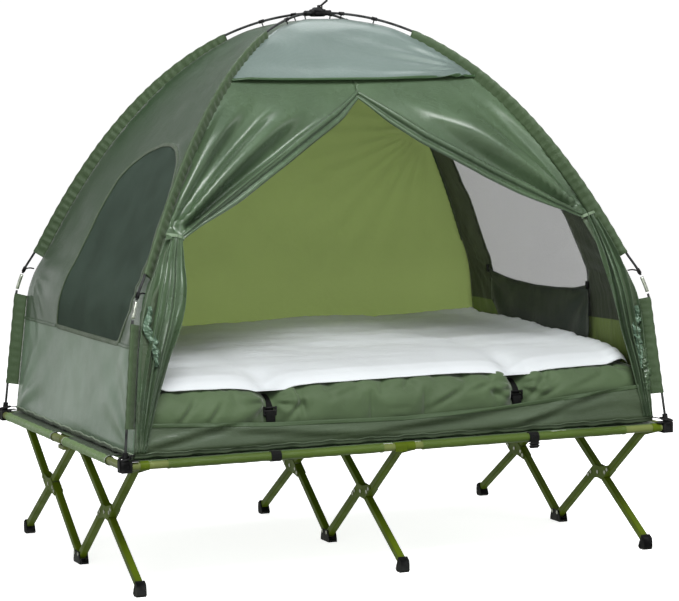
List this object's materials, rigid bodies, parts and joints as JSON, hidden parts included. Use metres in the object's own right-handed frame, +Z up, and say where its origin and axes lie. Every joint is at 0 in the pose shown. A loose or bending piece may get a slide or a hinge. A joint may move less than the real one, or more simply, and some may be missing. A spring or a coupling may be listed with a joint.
{
  "type": "folding tent cot",
  "caption": "Wide folding camp bed on scissor legs with side rails, end bars, fabric bed, mattress and a crossed-pole dome shelter with an open front.",
  "frame": {"origin": "on the floor under the middle of the cot", "axes": "+X along the cot, -Y towards the open side of the shelter, +Z up"},
  "size_m": [1.93, 1.4634, 1.8749],
  "materials": {
    "olive_paint": "satin olive-green powder coat on square steel tube",
    "pale_tube": "pale grey-green paint on round steel tube",
    "black_plastic": "matt moulded black plastic",
    "black_rubber": "matt black rubber",
    "rivet_steel": "plain zinc-plated steel",
    "bed_fabric": "green polyester oxford weave with a slight sheen",
    "mattress_cover": "green flocked airbed side, matt",
    "sheet": "white cotton sheet",
    "tent_fabric": "dark grey-green coated polyester with a bluish sheen",
    "inner_fabric": "yellowish green coated polyester, lit through",
    "roof_fabric": "pale blue-grey coated polyester, slightly glossy",
    "mesh": "dark grey insect mesh",
    "webbing": "black polypropylene webbing",
    "pole": "black fibreglass pole",
    "ferrule": "light grey anodised aluminium"
  },
  "bodies": {
    "base": {"centre_feet": "black_plastic", "centre_foot_pins": "rivet_steel"},
    "front_outer_frame": {"front_outer_lower_legs": "olive_paint", "front_outer_upper_legs": "olive_paint", "front_crossing_plates": "olive_paint", "front_crossing_rivets": "rivet_steel"},
    "front_inner_frame": {"front_inner_legs": "olive_paint", "front_feet": "black_rubber"},
    "rear_outer_frame": {"rear_outer_lower_legs": "olive_paint", "rear_outer_upper_legs": "olive_paint", "rear_crossing_plates": "olive_paint", "rear_crossing_rivets": "rivet_steel"},
    "rear_inner_frame": {"rear_inner_legs": "olive_paint", "rear_feet": "black_rubber"},
    "front_side_rail": {"front_rail_left": "pale_tube", "front_rail_right": "pale_tube", "front_rail_hinge": "olive_paint", "front_leg_brackets": "olive_paint", "front_rail_plugs": "black_plastic", "front_rail_hems": "bed_fabric", "front_rail_straps": "webbing"},
    "rear_side_rail": {"rear_rail_left": "pale_tube", "rear_rail_right": "pale_tube", "rear_rail_hinge": "olive_paint", "rear_leg_brackets": "olive_paint", "rear_rail_plugs": "black_plastic", "rear_rail_hems": "bed_fabric"},
    "front_middle_rail": {"front_centre_rail": "pale_tube", "front_centre_brackets": "olive_paint"},
    "rear_middle_rail": {"rear_centre_rail": "pale_tube", "rear_centre_brackets": "olive_paint", "bed_fabric": "bed_fabric"},
    "shelter": {"corner_caps": "black_plastic", "left_end_bar": "pale_tube", "left_bar_joint": "pale_tube", "left_bar_sleeves": "bed_fabric", "right_end_bar": "pale_tube", "right_bar_joint": "pale_tube", "right_bar_sleeves": "bed_fabric", "mattress": "mattress_cover", "mattress_straps": "webbing", "bed_sheet": "sheet", "tent_floor": "tent_fabric", "left_wall": "tent_fabric", "left_window_mesh": "mesh", "right_wall": "tent_fabric", "right_window_mesh": "mesh", "window_flap": "tent_fabric", "rear_wall": "inner_fabric", "front_roof_panel": "roof_fabric", "left_curtain": "tent_fabric", "right_curtain": "tent_fabric", "front_sill": "tent_fabric", "pole_sleeves": "tent_fabric", "upper_poles": "pole", "lower_poles": "pole", "pole_ferrules": "ferrule", "pole_fittings": "black_plastic", "hub": "black_plastic"},
    "release_lever": {"hub_lever": "black_plastic"}
  },
  "joints": [
    {"name": "fold", "type": "hinge", "parent": "base", "child": "front_outer_frame", "pos_m": [0, -0.019, 0.033], "axis": [-1, 0, 0], "range_deg": [0, 54], "deforming": ["bed_fabric"]},
    {"name": "rear_outer_fold", "type": "hinge", "parent": "base", "child": "rear_outer_frame", "pos_m": [0, 0.019, 0.033], "axis": [1, 0, 0], "range_deg": [0, 54]},
    {"name": "front_crossing", "type": "hinge", "parent": "front_outer_frame", "child": "front_inner_frame", "pos_m": [0, -0.33, 0.222], "axis": [1, 0, 0], "range_deg": [0, 108]},
    {"name": "rear_crossing", "type": "hinge", "parent": "rear_outer_frame", "child": "rear_inner_frame", "pos_m": [0, 0.33, 0.222], "axis": [-1, 0, 0], "range_deg": [0, 108]},
    {"name": "front_rail_pivot", "type": "hinge", "parent": "front_outer_frame", "child": "front_side_rail", "pos_m": [0, -0.62225, 0.39768], "axis": [1, 0, 0], "range_deg": [0, 54]},
    {"name": "rear_rail_pivot", "type": "hinge", "parent": "rear_outer_frame", "child": "rear_side_rail", "pos_m": [0, 0.62225, 0.39768], "axis": [-1, 0, 0], "range_deg": [0, 54]},
    {"name": "front_middle_pivot", "type": "hinge", "parent": "front_inner_frame", "child": "front_middle_rail", "pos_m": [0, -0.05654, 0.38819], "axis": [-1, 0, 0], "range_deg": [0, 54]},
    {"name": "rear_middle_pivot", "type": "hinge", "parent": "rear_inner_frame", "child": "rear_middle_rail", "pos_m": [0, 0.05654, 0.38819], "axis": [1, 0, 0], "range_deg": [0, 54]},
    {"name": "shelter_lift_off", "type": "slide", "parent": "base", "child": "shelter", "axis": [0, 0, 1], "range_m": [0, 0.66]},
    {"name": "lever_swing", "type": "hinge", "parent": "shelter", "child": "release_lever", "pos_m": [0.009, 0, 1.84944], "axis": [0, 1, 0], "range_deg": [-60, 30]}
  ],
  "couplings": [
    {"joint": "rear_outer_fold", "follows": "fold", "ratio": 1},
    {"joint": "front_crossing", "follows": "fold", "ratio": 2},
    {"joint": "rear_crossing", "follows": "fold", "ratio": 2},
    {"joint": "front_rail_pivot", "follows": "fold", "ratio": 1},
    {"joint": "rear_rail_pivot", "follows": "fold", "ratio": 1},
    {"joint": "front_middle_pivot", "follows": "fold", "ratio": 1},
    {"joint": "rear_middle_pivot", "follows": "fold", "ratio": 1},
    {"joint": "shelter_lift_off", "follows": "fold", "m_per_rad": 0.7}
  ]
}
